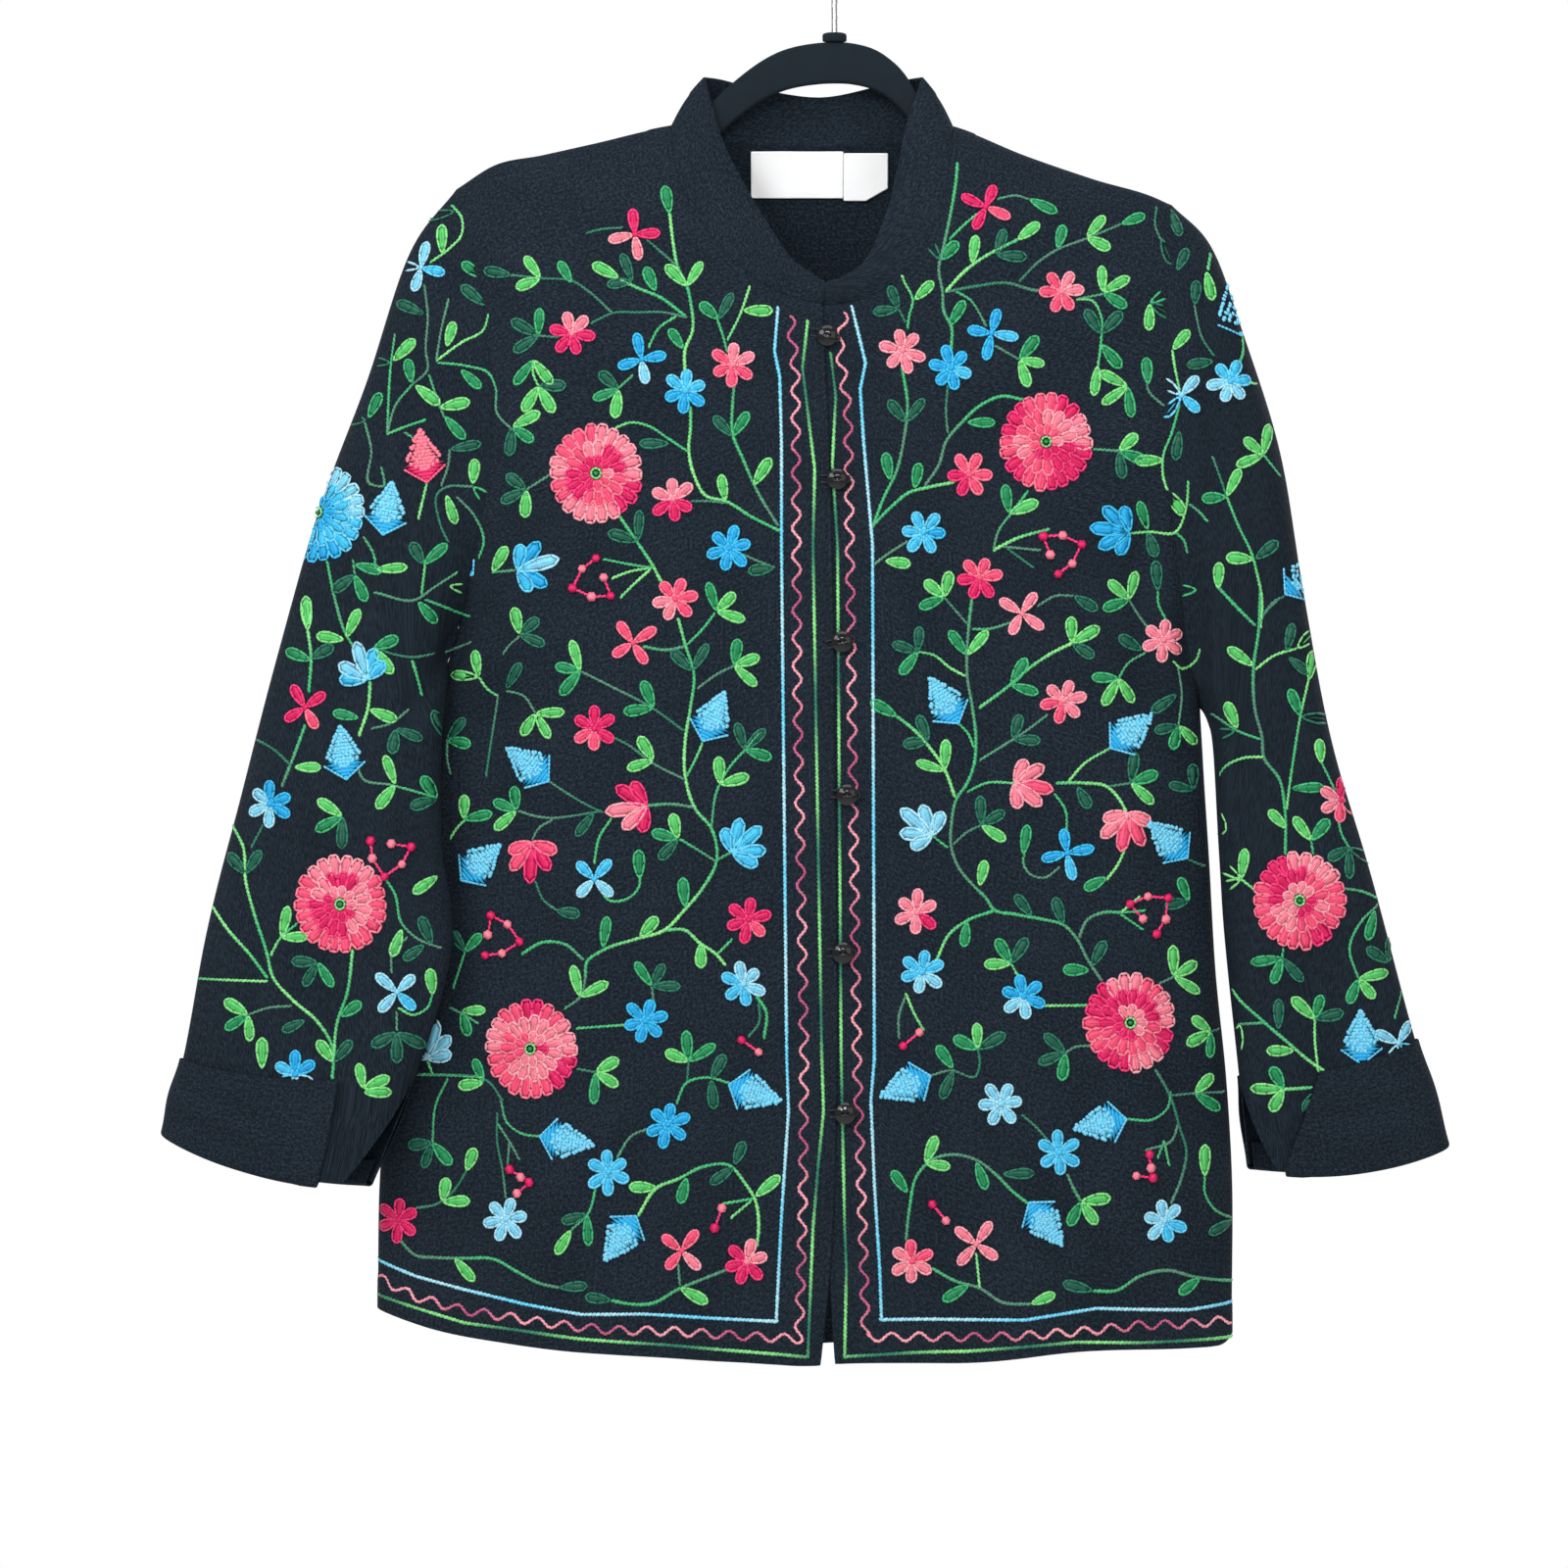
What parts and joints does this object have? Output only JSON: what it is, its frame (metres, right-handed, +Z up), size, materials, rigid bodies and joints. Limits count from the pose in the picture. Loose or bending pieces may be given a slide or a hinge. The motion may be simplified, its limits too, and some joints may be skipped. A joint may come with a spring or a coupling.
{
  "type": "embroidered shirt jacket on a hanger",
  "caption": "Dark cotton shirt jacket with a band collar, turned-back cuffs, a button and loop closure and flower embroidery, hanging flat on a flocked hanger.",
  "frame": {"origin": "where a rail touches the inside of the hook's crown", "axes": "+Z up along the hook, +X to the right as seen from the front, -Y out of the jacket's front"},
  "size_m": [0.7412, 0.0823, 0.8345],
  "materials": {
    "dark_cotton": "matt plain weave with raised chain stitch embroidery",
    "plain_facing": "matt plain weave",
    "black_button": "polished",
    "black_thread": "twisted thread",
    "white_label": "woven satin tape",
    "black_flock": "short flock",
    "hook_wire": "bright drawn wire"
  },
  "bodies": {
    "root": {"front_left": "dark_cotton", "front_right": "dark_cotton", "back": "dark_cotton", "collar": "plain_facing", "sleeve_left": "dark_cotton", "sleeve_right": "dark_cotton", "cuff_left": "plain_facing", "cuff_right": "plain_facing", "button_1": "black_button", "button_2": "black_button", "button_3": "black_button", "button_4": "black_button", "button_5": "black_button", "button_6": "black_button", "loop_1": "black_thread", "loop_2": "black_thread", "loop_3": "black_thread", "loop_4": "black_thread", "loop_5": "black_thread", "loop_6": "black_thread", "label_main": "white_label", "label_care": "white_label", "hanger": "black_flock", "hanger_nub": "black_flock", "hook": "hook_wire"}
  },
  "joints": []
}
